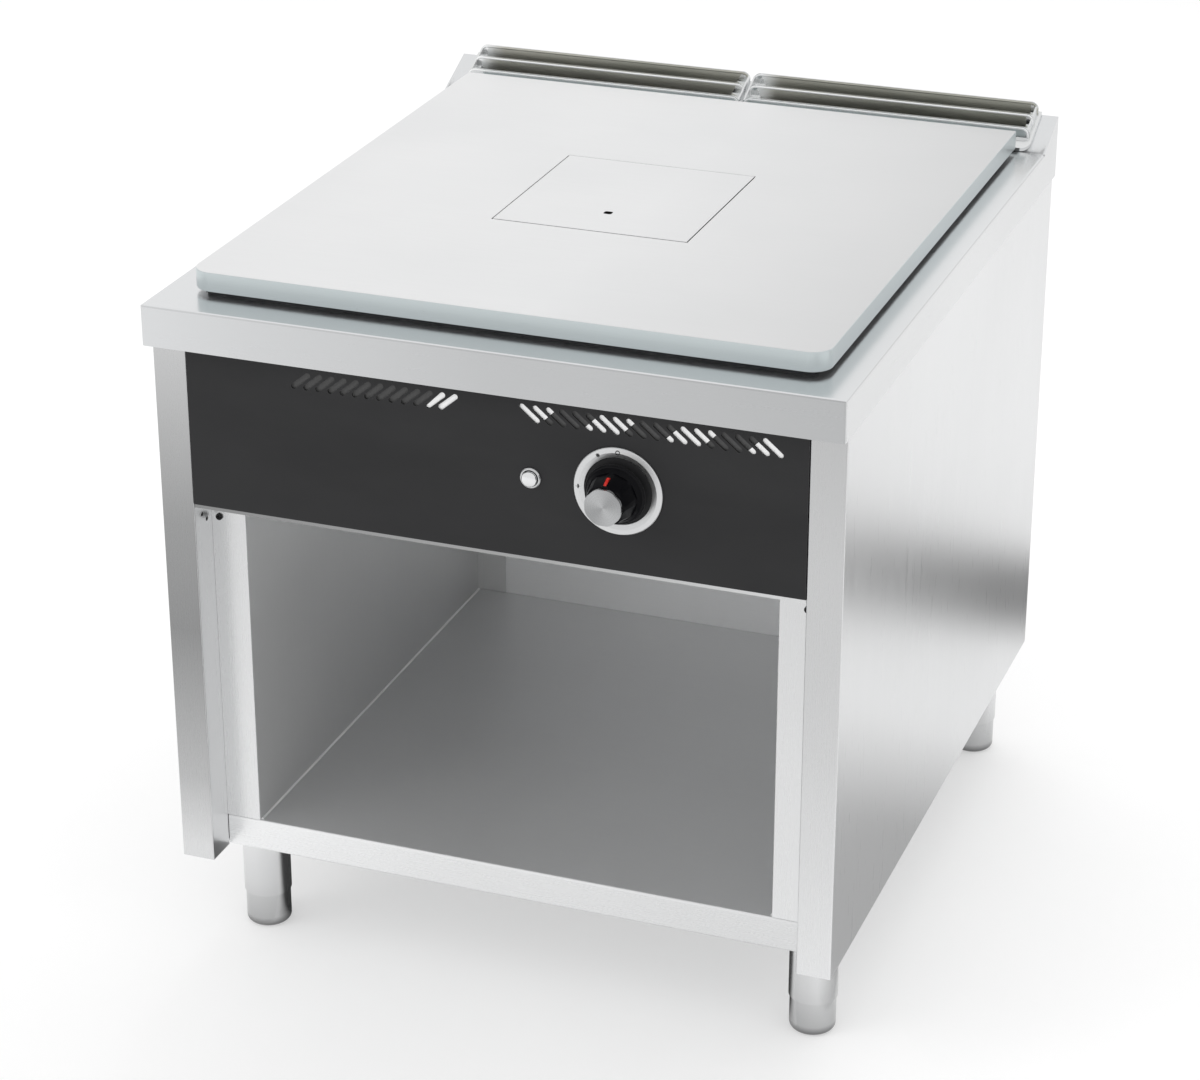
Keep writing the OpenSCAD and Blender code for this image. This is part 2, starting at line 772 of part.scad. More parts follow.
module burner_body() {
    color(iron) difference() {
        union() {
            translate([0, centre_y, burner_z]) rotate_extrude($fn = 72)
                polygon([[28, 0], [70, 0], [burner_r - 3, 10], [burner_r, 16], [burner_r, burner_h],
                    [28, burner_h]]);
            rod_y(0, knob_z, -114, -94, 20);
            for (a = [90 : 120 : 330]) translate([0, centre_y, 0]) rotate([0, 0, a]) {
                box([burner_r - 6, -6, burner_z], [112, 6, burner_z + 10]);
                translate([106, 0, box_z + 3.05]) cylinder(r = 5, h = burner_z - box_z - 2);
            }
        }
        translate([0, centre_y, burner_z]) rotate_extrude($fn = 72)
            polygon([[32, 5], [68, 5], [burner_r - 6, 14], [burner_r - 6, burner_h + 1], [32, burner_h + 1]]);
        rod_y(0, knob_z, -115, -88, venturi_r + 0.1);
    }
}

module burner_cap() {
    color(iron) translate([0, centre_y, burner_z + burner_h]) difference() {
        rotate_extrude($fn = 72) polygon([[28, 0], [87, 0], [87, 10], [80, 18], [36, 18], [28, 12]]);
        rotate_extrude($fn = 72) polygon([[34, -1], [78, -1], [78, 11], [34, 11]]);
        for (i = [0 : 23]) rotate([0, 0, 15 * i]) translate([74, 0, 6]) rotate([0, 90, 0])
            cylinder(r = 1.8, h = 16, $fn = 16);
    }
}

module venturi() {
    color(iron) difference() {
        union() {
            rod_y(0, knob_z, -352, -99, venturi_r);
            turned(0, knob_z, -351) polygon([[0, 0], [venturi_r, 0], [22, 5], [0, 5]]);
        }
        rod_y(0, knob_z, -360, -98, venturi_r - 2.5);
    }
}

// Disc that slides on the injector to set the air gap at the mouth of the venturi
module air_shutter() {
    color("silver") difference() {
        union() {
            rod_y(0, knob_z, -360, -358, 24);
            rod_y(0, knob_z, -366, -360, 12);
        }
        rod_y(0, knob_z, -367, -357, 8.05);
    }
}

module injector_holder() {
    color(brass) difference() {
        union() {
            box([-9, feed_y - 9, knob_z - 9], [9, feed_y + 7, knob_z + 9]);
            box([-9, feed_y - 9, ceiling_z + sheet], [9, feed_y - 7, knob_z - 8]);
        }
        rod_y(0, knob_z, feed_y - 6, feed_y + 8, 4);
        rod_x(feed_y, knob_z, 0, 10, 3);
    }
}

module injector() {
    color(brass) difference() {
        union() {
            rod_y(0, knob_z, feed_y - 5, feed_y + 7, 3.95);
            rod_y(0, knob_z, feed_y + 7, feed_y + 20, 8);
        }
        rod_y(0, knob_z, feed_y - 6, feed_y + 17, 2);
        rod_y(0, knob_z, feed_y + 16, feed_y + 21, 0.9);
        rod_x(feed_y, knob_z, 0, 5, 2);
    }
}

pilot_y = -124;
lead_z = 675;

module pilot_burner() {
    color("silver") {
        difference() {
            union() {
                box([window_x - 22, pilot_y - 14, brick_z + brick_t], [window_x + 22, pilot_y - 12, 702]);
                box([window_x - 22, pilot_y - 14, 700], [window_x + 22, pilot_y + 8, 702]);
            }
            translate([window_x, pilot_y, 699]) cylinder(r = 4.1, h = 4);
            for (x = [-14, 14]) translate([window_x + x, pilot_y, 699]) cylinder(r = 3.2, h = 4);
            for (x = [-14, 0, 14]) rod_y(window_x + x, lead_z, pilot_y - 15, pilot_y - 11, 4);
        }
        difference() {
            union() {
                translate([window_x, pilot_y, 690]) cylinder(r = 4, h = 38);
                translate([window_x, pilot_y, 702]) cylinder(r = 6, h = 8);
            }
            translate([window_x, pilot_y, 712]) cylinder(r = 2, h = 17);
            translate([window_x, pilot_y, 722]) rotate([90, 0, 0]) cylinder(r = 1.6, h = 20, center = true);
        }
    }
}

module thermocouple() {
    x = window_x + 14;
    color("peru") {
        translate([x, pilot_y, 690]) cylinder(r = 3, h = 42);
        bent_rod([[knob_x + 8, -402, knob_z - 24], [knob_x + 8, -402, 656], [x, -402, 656], [x, -402, lead_z],
            [x, pilot_y, lead_z], [x, pilot_y, 690]], 1.5);
    }
}

module spark_electrode() {
    x = window_x - 14;
    color("white") {
        translate([x, pilot_y, 690]) cylinder(r = 3, h = 30);
        translate([x, pilot_y, 719]) cylinder(r = 1, h = 10);
        pipe_run([x, pilot_y, 727], [x + 7, pilot_y, 732], 1);
    }
}

module ignition_lead() {
    x = window_x - 14;
    color("firebrick") bent_rod([[igniter_x, -400, knob_z], [igniter_x, -391, knob_z],
        [igniter_x, -391, lead_z], [x, -391, lead_z], [x, pilot_y, lead_z], [x, pilot_y, 690]], 2);
}

module pilot_pipe() {
    color("peru") pipe([[knob_x - 8, -388, knob_z - 24], [knob_x - 8, -388, 654], [window_x, -388, 654],
        [window_x, -388, lead_z], [window_x, pilot_y, lead_z], [window_x, pilot_y, 690]], 3, 0.8);
}

module burner_pipe() {
    color("peru") pipe([[9, feed_y, knob_z], [knob_x - 28, feed_y, knob_z]], 5, 1);
}

module supply_pipe() {
    color("peru") pipe([[supply_x, 440, inlet_z], [supply_x, feed_y, inlet_z], [supply_x, feed_y, knob_z],
        [knob_x + 28, feed_y, knob_z]], 7.5, 1.2);
}

module gas_inlet() {
    color(brass) difference() {
        union() {
            rod_y(supply_x, inlet_z, 440, rear_y - 0.9, 13);
            rod_y(supply_x, inlet_z, rear_y - 0.9, rear_y + 2.1, 19);
            rod_y(supply_x, inlet_z, rear_y, rear_y + 10, 13);
            rod_y(supply_x, inlet_z, rear_y + 9, rear_y + 30, 10.48);
        }
        rod_y(supply_x, inlet_z, 445, rear_y + 31, 6.5);
    }
}

// ---------------------------------------------------------------- legs

bolt_pitch = 31;
module bolt_places() {
    for (x = [-bolt_pitch, bolt_pitch]) for (y = [-bolt_pitch, bolt_pitch]) translate([x, y, 0]) children();
}

module leg_sockets() {
    color(steel) for (p = leg_places) translate([p[0], p[1], 0]) difference() {
        union() {
            translate([-40, -40, clear_z - 2]) cube([80, 80, 4]);
            translate([0, 0, leg_step_z]) cylinder(r = leg_r, h = clear_z - 2 - leg_step_z, $fn = 72);
        }
        translate([0, 0, leg_step_z - 1]) cylinder(r = foot_bore_r, h = clear_z - leg_step_z - 7, $fn = 72);
        bolt_places() translate([0, 0, clear_z - 3]) cylinder(r = 4.2, h = 6);
    }
}

module leg_bolts() {
    color("silver") for (p = leg_places) translate([p[0], p[1], clear_z]) bolt_places() {
        translate([0, 0, -7]) cylinder(r = 6.5, h = 5, $fn = 6);
        translate([0, 0, -2]) cylinder(r = 4, h = 14);
        translate([0, 0, 4]) cylinder(r = 7, h = 6, $fn = 6);
    }
}

module foot(i) {
    color(steel) translate([leg_places[i][0], leg_places[i][1], 0]) rotate_extrude($fn = 72)
        difference() {
            union() {
                rounded([-foot_r, 0], [foot_r, 30], 7);
                translate([0, 15]) square([foot_r, 85]);
            }
            translate([-foot_r - 1, -1]) square([foot_r + 1, 120]);
            translate([0, 70]) square([foot_r - 3, 40]);
        }
}

module front_left_foot() { foot(0); }
module front_right_foot() { foot(1); }
module rear_left_foot() { foot(2); }
module rear_right_foot() { foot(3); }

// ---------------------------------------------------------------- nodes

worktop();
left_side_panel();
right_side_panel();
left_liner();
right_liner();
inner_back_panel();
cabinet_floor();
base_frame();
front_crossbar();
control_panel();
vent_baffle();
vent_screen();
plate_frame();
hot_plate();
centre_plate();
left_flue_cover();
right_flue_cover();
firebox();
firebricks();
insulation();
firebox_rails();
burner_body();
burner_cap();
venturi();
air_shutter();
injector_holder();
injector();
pilot_burner();
thermocouple();
spark_electrode();
ignition_lead();
tap_body();
tap_bracket();
tap_plug();
tap_stem();
tap_spring();
knob();
knob_cap();
knob_pointer();
knob_bezel();
igniter_button();
igniter_body();
igniter_ring();
igniter_spring();
gas_inlet();
supply_pipe();
burner_pipe();
pilot_pipe();
flue_duct();
back_panel();
compartment_ceiling();
panel_screws();
back_screws();
hinge_screws();
leg_sockets();
leg_bolts();
front_left_foot();
front_right_foot();
rear_left_foot();
rear_right_foot();
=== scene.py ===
"""Gas solid-top range on an open cabinet: looks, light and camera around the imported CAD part."""
import json
import math

import bmesh
import bpy
from mathutils import Matrix, Vector


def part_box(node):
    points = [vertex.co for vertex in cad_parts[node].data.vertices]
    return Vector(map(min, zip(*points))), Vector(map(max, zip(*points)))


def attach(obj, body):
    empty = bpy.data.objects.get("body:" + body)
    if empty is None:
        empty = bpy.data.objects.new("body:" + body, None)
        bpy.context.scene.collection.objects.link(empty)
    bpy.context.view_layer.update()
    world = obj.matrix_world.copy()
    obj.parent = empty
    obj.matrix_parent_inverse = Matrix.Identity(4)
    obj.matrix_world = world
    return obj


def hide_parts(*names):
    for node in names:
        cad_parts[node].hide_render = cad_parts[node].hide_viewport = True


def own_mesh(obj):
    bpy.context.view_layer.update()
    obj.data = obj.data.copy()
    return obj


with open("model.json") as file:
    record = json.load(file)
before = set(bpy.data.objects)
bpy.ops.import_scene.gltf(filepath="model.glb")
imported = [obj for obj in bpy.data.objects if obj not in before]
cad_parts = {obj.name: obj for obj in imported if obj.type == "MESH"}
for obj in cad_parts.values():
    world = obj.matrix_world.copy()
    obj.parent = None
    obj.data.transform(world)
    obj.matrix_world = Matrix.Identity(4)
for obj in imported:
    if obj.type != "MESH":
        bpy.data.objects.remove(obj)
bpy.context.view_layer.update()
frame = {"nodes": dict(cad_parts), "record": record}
NODES = frame["nodes"]
BODIES = frame["record"]["behaviour"]["bodies"]
BODY = {node: body for body, members in BODIES.items() for node in members}
SLOT = {part["node"]: part["material_slot"] for part in frame["record"]["subparts"]}

# ------------------------------------------------------------------ driving values

# Solved camera: its place in metres and its own axes
CAMERA_AT = (1.2420, -3.4345, 2.0946)
CAMERA_RIGHT = (0.93719, 0.34882, -0.00067)
CAMERA_DOWN = (0.14490, -0.39105, -0.90889)
CAMERA_LOOK = (-0.31730, 0.85171, -0.41703)
CAMERA_LENS = 98.86
SENSOR = 36.0

FLOOR_GLOW = 0.44          # the floor gives off this much light itself
SKY_LIGHT = 0.95
FLAG_Z = 0.002
FLAG_SURROUND = 0.95       # tone of a flag's two soft ends

GRAIN = 900.0              # grain lines per metre across the brushing
ALONG = 40.0               # how far the grain lines are drawn out
SHARP_ANGLE = 35           # edges sharper than this, in degrees, are rounded
CREASE = 28                # creases above this angle stay crisp on sheet metal
ROUND_CREASE = 50          # and above this one on round bars
FACING = 0.7               # how nearly a face has to look one way to be picked
SAME_PLANE = 0.004         # how near a face has to be to a plane to be picked
# The bright wedges of spun metal are a painted highlight.
PAINTED_WEDGE_TURN = 0.9           # turn of the bright wedges of spun metal, in radians
KNOB_AXIS = tuple(sum(c) / 2 for c in zip(*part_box("knob_bezel")))
KNOB_CENTRE = (KNOB_AXIS[0], KNOB_AXIS[2])

FIN_CORNER = 0.010
FIN_THICKNESS = 0.003
FIN_AREA = 0.003           # a fin's front face is larger than this, in square metres
REAR_FIN = 3
HEM_RADIUS = 0.0021
SEAM_RADIUS = 0.0015
LINER_RETURN = 0.040       # how far the liner's jamb and rear return stand in from its wall
MARK_RADIUS = 0.0446       # distance of the dial marks from the knob's axis
MARK_LIFT = 0.00025
MARK_SIZE = 0.0026

PANEL_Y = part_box("control_panel")[0].y
JAMB_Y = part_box("left_liner")[0].y
COVER_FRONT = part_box("left_flue_cover")[0].y
FIRST_FIN_DEPTH = 0.018    # the first fin of a flue cover stands within this of its front
CENTRE_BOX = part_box("centre_plate")
HOLE_INSET = 0.010
BEZEL_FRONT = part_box("knob_bezel")[0].y


# ------------------------------------------------------------------ node helpers

class Tree:
    """Short names for building one material's nodes."""

    def __init__(self, name):
        self.material = bpy.data.materials.new(name)
        self.material.use_nodes = True
        self.nodes = self.material.node_tree.nodes
        self.links = self.material.node_tree.links
        self.shader = self.nodes["Principled BSDF"]

    def node(self, kind, **values):
        made = self.nodes.new(kind)
        for key, value in values.items():
            setattr(made, key, value)
        return made

    def link(self, source, target):
        self.links.new(source, target)

    def set(self, socket, value):
        self.shader.inputs[socket].default_value = value

    def coords(self, scale=(1, 1, 1), rotation=(0, 0, 0)):
        """Object coordinates, scaled per axis."""
        texture = self.node("ShaderNodeTexCoord")
        mapping = self.node("ShaderNodeMapping")
        mapping.inputs["Scale"].default_value = scale
        mapping.inputs["Rotation"].default_value = rotation
        self.link(texture.outputs["Object"], mapping.inputs["Vector"])
        return mapping.outputs["Vector"]

    def noise(self, vector, scale, detail=4.0, roughness=0.55):
        made = self.node("ShaderNodeTexNoise")
        made.inputs["Scale"].default_value = scale
        made.inputs["Detail"].default_value = detail
        made.inputs["Roughness"].default_value = roughness
        self.link(vector, made.inputs["Vector"])
        return made.outputs["Fac"]

    def ramp(self, value, stops):
        """Colour ramp from (place, colour) stops; a number stands for a grey."""
        made = self.node("ShaderNodeValToRGB")
        elements = made.color_ramp.elements
        while len(elements) < len(stops):
            elements.new(0.5)
        for element, (place, colour) in zip(elements, stops):
            element.position = place
            grey = isinstance(colour, (int, float))
            element.color = (colour, colour, colour, 1) if grey else (*colour, 1)
        self.link(value, made.inputs["Fac"])
        return made.outputs["Color"]

    def span(self, value, low, high):
        """Maps 0..1 to low..high."""
        made = self.node("ShaderNodeMapRange")
        made.inputs["To Min"].default_value = low
        made.inputs["To Max"].default_value = high
        self.link(value, made.inputs["Value"])
        return made.outputs["Result"]

    def graded(self, axis, start, end, stops):
        """Ramp along one axis of the object's own space, from start to end in metres."""
        split = self.node("ShaderNodeSeparateXYZ")
        self.link(self.coords(), split.inputs["Vector"])
        made = self.node("ShaderNodeMapRange")
        made.inputs["From Min"].default_value = start
        made.inputs["From Max"].default_value = end
        self.link(split.outputs[axis], made.inputs["Value"])
        return self.ramp(made.outputs["Result"], stops)

    def math(self, operation, a, b):
        made = self.node("ShaderNodeMath", operation=operation)
        for socket, value in zip(made.inputs, (a, b)):
            if isinstance(value, (int, float)):
                socket.default_value = value
            else:
                self.link(value, socket)
        return made.outputs["Value"]

    def mix(self, factor, a, b, blend="MIX"):
        """Mixes two colours; a and b are sockets or colours."""
        made = self.node("ShaderNodeMix", data_type="RGBA", blend_type=blend)
        for socket, value in ((made.inputs[0], factor), (made.inputs[6], a), (made.inputs[7], b)):
            if isinstance(value, (int, float)):
                socket.default_value = value
            elif isinstance(value, tuple):
                socket.default_value = (*value, 1)
            else:
                self.link(value, socket)
        return made.outputs[2]

    def bump(self, height, strength, distance):
        made = self.node("ShaderNodeBump")
        made.inputs["Strength"].default_value = strength
        made.inputs["Distance"].default_value = distance
        self.link(height, made.inputs["Height"])
        self.link(made.outputs["Normal"], self.shader.inputs["Normal"])
        return made

    def edges(self, radius):
        """1 along sharp edges and 0 on open faces, from a rounded normal."""
        bevel = self.node("ShaderNodeBevel", samples=4)
        bevel.inputs["Radius"].default_value = radius
        geometry = self.node("ShaderNodeNewGeometry")
        dot = self.node("ShaderNodeVectorMath", operation="DOT_PRODUCT")
        self.link(bevel.outputs["Normal"], dot.inputs[0])
        self.link(geometry.outputs["Normal"], dot.inputs[1])
        return self.span(dot.outputs["Value"], 1.0, 0.0)


# ------------------------------------------------------------------ materials

def grain_scale(axis):
    """Scale of the object coordinates that draws noise out along one axis."""
    return tuple(1.0 / ALONG if a == axis else 1.0 for a in "XYZ")


def steel(name, tone, rough, axis="X", spread=0.06, lift=0.03, cloud=0.04, metallic=1.0, painted_shading=None):
    """Brushed or polished stainless steel, with its grain along one axis.

    painted_shading is (axis, start, end, stops): painted shade and light, the tone multiplied by a ramp
    along that axis, in metres.
    """
    t = Tree(name)
    t.set("Metallic", metallic)
    fine = t.noise(t.coords(grain_scale(axis)), GRAIN, 3.0, 0.6)
    broad = t.noise(t.coords(), 3.2, 3.0, 0.5)
    dull = t.noise(t.coords(grain_scale(axis)), 90.0, 2.0, 0.5)
    clouds = t.ramp(broad, [(0.30, tuple(c * (1 - cloud) for c in tone)), (0.70, tone)])
    lines = t.ramp(fine, [(0.25, 1.0 - lift), (0.75, 1.0)])
    colour = t.mix(1.0, clouds, lines, "MULTIPLY")
    # Painted shade and light: the tone is multiplied by a ramp along one axis.
    if painted_shading:
        colour = t.mix(1.0, colour, t.graded(*painted_shading), "MULTIPLY")
    t.link(colour, t.shader.inputs["Base Color"])
    soft = t.math("ADD", t.span(fine, rough - spread, rough + spread),
                  t.span(dull, -spread * 0.5, spread * 0.5))
    t.link(soft, t.shader.inputs["Roughness"])
    t.bump(fine, 0.03, 0.0003)
    return t.material


def plain_metal(name, tone, rough, mottle=0.12, scale=160.0, bump=0.08):
    """Cast, galvanised or drawn metal with a mottled skin."""
    t = Tree(name)
    t.set("Metallic", 1.0)
    spots = t.noise(t.coords(), scale, 4.0, 0.6)
    broad = t.noise(t.coords(), scale / 20.0, 3.0, 0.5)
    skin = t.ramp(spots, [(0.3, tuple(c * (1 - mottle) for c in tone)), (0.7, tone)])
    stain = t.ramp(broad, [(0.35, 0.86), (0.65, 1.0)])
    t.link(t.mix(1.0, skin, stain, "MULTIPLY"), t.shader.inputs["Base Color"])
    t.link(t.span(spots, rough - 0.08, rough + 0.10), t.shader.inputs["Roughness"])
    t.bump(spots, bump, 0.001)
    return t.material


def zinc(name):
    """Galvanised sheet: flat crystals of slightly different grey."""
    t = Tree(name)
    t.set("Metallic", 1.0)
    cells = t.node("ShaderNodeTexVoronoi")
    cells.inputs["Scale"].default_value = 60.0
    t.link(t.coords(), cells.inputs["Vector"])
    grey = t.node("ShaderNodeSeparateColor")
    t.link(cells.outputs["Color"], grey.inputs["Color"])
    t.link(t.ramp(grey.outputs["Red"], [(0.0, (0.42, 0.44, 0.45)), (1.0, (0.60, 0.62, 0.63))]),
           t.shader.inputs["Base Color"])
    t.link(t.span(grey.outputs["Green"], 0.34, 0.52), t.shader.inputs["Roughness"])
    t.bump(t.noise(t.coords(), 300.0, 3.0), 0.05, 0.0005)
    return t.material


def skin(name, tone, rough, mottle=0.10, scale=700.0, bump=0.10, depth=0.0003, coat=0.0, specular=0.5):
    """Paint, plastic, rubber, brick or fibre: a toned surface with a fine grain."""
    t = Tree(name)
    t.set("Coat Weight", coat)
    t.set("Specular IOR Level", specular)
    grain = t.noise(t.coords(), scale, 4.0, 0.6)
    broad = t.noise(t.coords(), 9.0, 3.0, 0.5)
    base = t.ramp(grain, [(0.3, tuple(c * (1 - mottle) for c in tone)),
                          (0.7, tuple(c * (1 + mottle) for c in tone))])
    stain = t.ramp(broad, [(0.3, 0.93), (0.7, 1.0)])
    t.link(t.mix(1.0, base, stain, "MULTIPLY"), t.shader.inputs["Base Color"])
    t.link(t.span(grain, rough - 0.06, rough + 0.06), t.shader.inputs["Roughness"])
    t.bump(grain, bump, depth)
    return t.material


def enamel(name):
    """Matte black enamel of the control panel, a little dusty and lighter grey along its sharp edges.
    """
    t = Tree(name)
    grain = t.noise(t.coords(), 900.0, 3.0, 0.6)
    haze = t.noise(t.coords((1, 1, 2.5)), 6.0, 4.0, 0.55)
    base = t.ramp(haze, [(0.30, (0.018, 0.018, 0.019)), (0.75, (0.024, 0.024, 0.025))])
    t.link(t.mix(t.edges(0.0012), base, (0.09, 0.09, 0.09)), t.shader.inputs["Base Color"])
    t.link(t.span(haze, 0.50, 0.60), t.shader.inputs["Roughness"])
    t.set("Specular IOR Level", 0.22)
    t.bump(grain, 0.10, 0.0002)
    return t.material


def ground_plate(name):
    """Ground steel of the hot plate: pale and satin, with fine scratches, faint heat tint and painted
    shade darkening its right end.
    """
    t = Tree(name)
    t.set("Metallic", 0.72)
    fine = t.noise(t.coords(grain_scale("X")), 620.0, 3.0, 0.6)
    broad = t.noise(t.coords(), 2.4, 3.0, 0.5)
    tint = t.ramp(broad, [(0.30, (0.765, 0.77, 0.775)), (0.70, (0.82, 0.822, 0.825))])
    lines = t.ramp(fine, [(0.25, 0.965), (0.75, 1.0)])
    # Darker towards the right end of the plate: painted shade.
    painted_shading = t.graded("X", -0.364, 0.364, [(0.0, 1.0), (0.55, 1.0), (1.0, 0.84)])
    brushed = t.mix(1.0, tint, lines, "MULTIPLY")
    t.link(t.mix(1.0, brushed, painted_shading, "MULTIPLY"), t.shader.inputs["Base Color"])
    t.link(t.span(fine, 0.34, 0.46), t.shader.inputs["Roughness"])
    t.bump(fine, 0.04, 0.0003)
    return t.material


# Painted reflection along both flue covers: only near the left end of each are the heat-tinted faces
# painted pale.
PAINTED_REFLECTION_ENDS = [(0.0, 1.0), (0.018, 0.9), (0.05, 0.0),
              (0.4995, 0.0), (0.5, 1.0), (0.52, 0.9), (0.552, 0.0)]


def x_span(left, right):
    """Lowest and highest x over two nodes."""
    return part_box(left)[0].x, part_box(right)[1].x


def heat_tinted(name):
    """Steel between the flue fins, browned by the hot gases, with a pale painted reflection near the
    left end of each cover.
    """
    t = Tree(name)
    t.set("Metallic", 0.9)
    streak = t.noise(t.coords((0.12, 1, 1)), 60.0, 3.0, 0.55)
    cloud = t.noise(t.coords((0.5, 1, 1)), 8.0, 3.0, 0.5)
    tint = t.ramp(cloud, [(0.30, (0.40, 0.405, 0.35)), (0.72, (0.56, 0.55, 0.49))])
    lines = t.ramp(streak, [(0.3, 0.84), (0.7, 1.0)])
    browned = t.mix(1.0, tint, lines, "MULTIPLY")
    # Near the left end of each cover the browned tone gives way to a pale painted reflection.
    painted_reflection_mask = t.graded("X", *x_span("left_flue_cover", "right_flue_cover"), PAINTED_REFLECTION_ENDS)
    t.link(t.mix(painted_reflection_mask, browned, (0.90, 0.91, 0.92)), t.shader.inputs["Base Color"])
    t.link(t.span(streak, 0.26, 0.36), t.shader.inputs["Roughness"])
    t.bump(streak, 0.05, 0.0004)
    return t.material


def spun(name, tone, rough, centre, rings=1500.0, painted_wedge_highlight=0.0):
    """Turned metal, with fine rings about an axis along Y through centre.

    painted_wedge_highlight is how strongly two opposite wedges of the face are painted lighter, and the
    other two darker: a painted highlight.
    """
    t = Tree(name)
    t.set("Metallic", 1.0)
    texture = t.node("ShaderNodeTexCoord")
    mapping = t.node("ShaderNodeMapping")
    mapping.inputs["Location"].default_value = (-centre[0], 0, -centre[1])
    t.link(texture.outputs["Object"], mapping.inputs["Vector"])
    split = t.node("ShaderNodeSeparateXYZ")
    t.link(mapping.outputs["Vector"], split.inputs["Vector"])
    across = t.math("POWER", split.outputs["X"], 2.0)
    up = t.math("POWER", split.outputs["Z"], 2.0)
    radius = t.math("SQRT", t.math("ADD", across, up), 0.0)
    join = t.node("ShaderNodeCombineXYZ")
    t.link(radius, join.inputs["X"])
    ring = t.noise(join.outputs["Vector"], rings, 2.0, 0.6)
    colour = t.ramp(ring, [(0.3, tuple(c * 0.86 for c in tone)), (0.7, tone)])
    if painted_wedge_highlight:
        # Two opposite wedges lighter and two darker: painted highlight of spun metal.
        angle = t.math("ARCTAN2", split.outputs["Z"], split.outputs["X"])
        painted_wedge = t.math("COSINE", t.math("MULTIPLY", t.math("ADD", angle, PAINTED_WEDGE_TURN), 2.0), 0.0)
        factor = t.math("ADD", t.math("MULTIPLY", painted_wedge, painted_wedge_highlight), 1.0)
        colour = t.mix(1.0, colour, factor, "MULTIPLY")
    t.link(colour, t.shader.inputs["Base Color"])
    t.link(t.span(ring, rough - 0.07, rough + 0.07), t.shader.inputs["Roughness"])
    t.bump(ring, 0.12, 0.0003)
    return t.material


# Axis, start and end in metres of the painted shade and light that change along a piece
POST_RUN = ("Z", 0.14, 0.80)
JAMB_RUN = ("Z", 0.14, 0.60)
FRONT_RUN = ("X", -0.36, 0.36)
# The legs darken towards the floor: painted shade.
LEG_PAINTED_SHADE = ("Z", 0.0, 0.14, [(0, 0.18), (0.04, 0.32), (0.09, 0.64), (0.45, 0.84), (1, 1.0)])

MATERIALS = {
    "worktop_steel": steel("worktop_steel", (0.79, 0.80, 0.81), 0.20, "X", 0.04),
    "cabinet_steel": steel("cabinet_steel", (0.76, 0.765, 0.77), 0.30, "Z", 0.06),
    "panel_black": enamel("panel_black"),
    # Near-white and mostly non-metallic, so the baffle shows bright behind the vent slots: painted
    # light.
    "baffle_steel": steel("baffle_steel", (0.93, 0.93, 0.93), 0.42, "X", metallic=0.25),
    "plate_steel": ground_plate("plate_steel"),
    "cover_steel": steel("cover_steel", (0.80, 0.81, 0.81), 0.16, "X", 0.05),
    "galvanised_steel": zinc("galvanised_steel"),
    "leg_steel": steel("leg_steel", (0.84, 0.845, 0.85), 0.24, "Z", 0.05, painted_shading=LEG_PAINTED_SHADE),
    "foot_steel": steel("foot_steel", (0.79, 0.795, 0.80), 0.24, "Z", 0.05, painted_shading=LEG_PAINTED_SHADE),
    # The dim grey of the screen behind the vent slots stands in for the shaded inside seen through
    # them: painted shade.
    "screen_grey": skin("screen_grey", (0.085, 0.085, 0.085), 0.60, 0.14, 500.0, specular=0.3),
    "screw_steel": plain_metal("screw_steel", (0.55, 0.55, 0.56), 0.32),
    "cast_iron": plain_metal("cast_iron", (0.14, 0.14, 0.145), 0.60, 0.2, 420.0, 0.35),
    "firebrick": skin("firebrick", (0.62, 0.49, 0.34), 0.90, 0.16, 220.0, 0.5, 0.001),
    "fibre_blanket": skin("fibre_blanket", (0.84, 0.83, 0.80), 0.95, 0.08, 320.0, 0.6, 0.002),
    "brass": plain_metal("brass", (0.78, 0.58, 0.28), 0.30, 0.10),
    "copper": plain_metal("copper", (0.80, 0.43, 0.28), 0.28, 0.12),
    "electrode_ceramic": skin("electrode_ceramic", (0.90, 0.89, 0.86), 0.25, 0.03, 300.0, 0.05,
                              coat=0.4),
    "lead_red": skin("lead_red", (0.50, 0.07, 0.05), 0.55, 0.12),
    "knob_black": skin("knob_black", (0.003, 0.003, 0.004), 0.38, 0.20, 1100.0, 0.10, 0.0002,
                       specular=0.12),
    "cap_silver": spun("cap_silver", (0.40, 0.405, 0.41), 0.27, KNOB_CENTRE, painted_wedge_highlight=0.16),
    "pointer_red": skin("pointer_red", (0.66, 0.03, 0.02), 0.30, 0.06, 500.0, 0.05, coat=0.5),
    "bezel_silver": spun("bezel_silver", (0.68, 0.685, 0.69), 0.34, KNOB_CENTRE, 900.0),
    "button_chrome": plain_metal("button_chrome", (0.84, 0.845, 0.85), 0.12, 0.03, 90.0, 0.01),
    "igniter_black": skin("igniter_black", (0.03, 0.03, 0.03), 0.45, 0.15),
}

# Second materials within a slot, most of them painted shade and light on the steel
# Apron front: darker towards its right end, painted shade and reflection.
APRON_PAINTED_SHADE = steel("apron_painted_shade", (0.79, 0.80, 0.81), 0.26, "X", 0.04,
                    painted_shading=("X", -0.4, 0.4, [(0, 0.84), (0.5, 0.67), (1, 0.60)]))
# Apron sides: a darker copy of the worktop steel, painted shade.
APRON_SIDE_PAINTED_SHADE = steel("apron_side_painted_shade", (0.70, 0.705, 0.71), 0.26, "Y", 0.04)
# Front faces of the posts: tone changing up their height, painted reflection and shade.
LEFT_POST_PAINTED_SHADE = steel("left_post_painted_shade", (0.80, 0.805, 0.81), 0.28, "Z",
                  painted_shading=(*POST_RUN, [(0.02, 0.92), (0.16, 0.60), (0.45, 0.34), (0.65, 0.40), (1, 0.70)]))
RIGHT_POST_PAINTED_SHADE = steel("right_post_painted_shade", (0.84, 0.845, 0.85), 0.28, "Z",
                   painted_shading=(*POST_RUN, [(0, 0.98), (0.4, 0.76), (1, 0.60)]))
